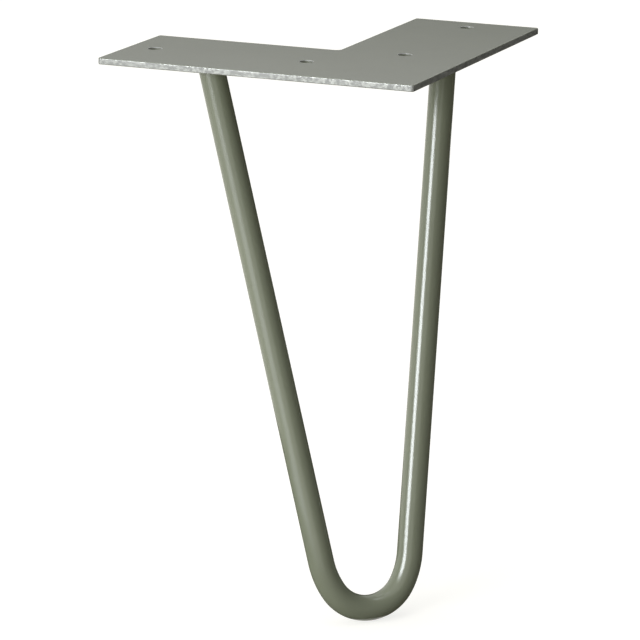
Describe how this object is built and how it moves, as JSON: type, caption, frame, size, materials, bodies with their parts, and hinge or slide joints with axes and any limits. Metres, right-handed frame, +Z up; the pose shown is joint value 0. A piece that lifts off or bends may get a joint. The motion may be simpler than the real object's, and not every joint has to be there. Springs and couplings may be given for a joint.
{
  "type": "hairpin table leg",
  "caption": "Table leg of round steel rod bent to a V at the foot and welded under an L-shaped plate with screw holes for the table's corner, powder coated grey-green.",
  "frame": {"origin": "on the plate's top face, where the lines of screw holes of the two arms cross", "axes": "+Z up out of the plate's top face, into the table top; the left arm runs along -X and the right arm along +Y"},
  "size_m": [0.128, 0.128, 0.217],
  "materials": {
    "powder_coat": "semi-gloss grey-green powder coat on steel"
  },
  "bodies": {
    "root": {"mounting_plate": "powder_coat", "hairpin_rod": "powder_coat", "left_weld": "powder_coat", "right_weld": "powder_coat"}
  },
  "joints": []
}
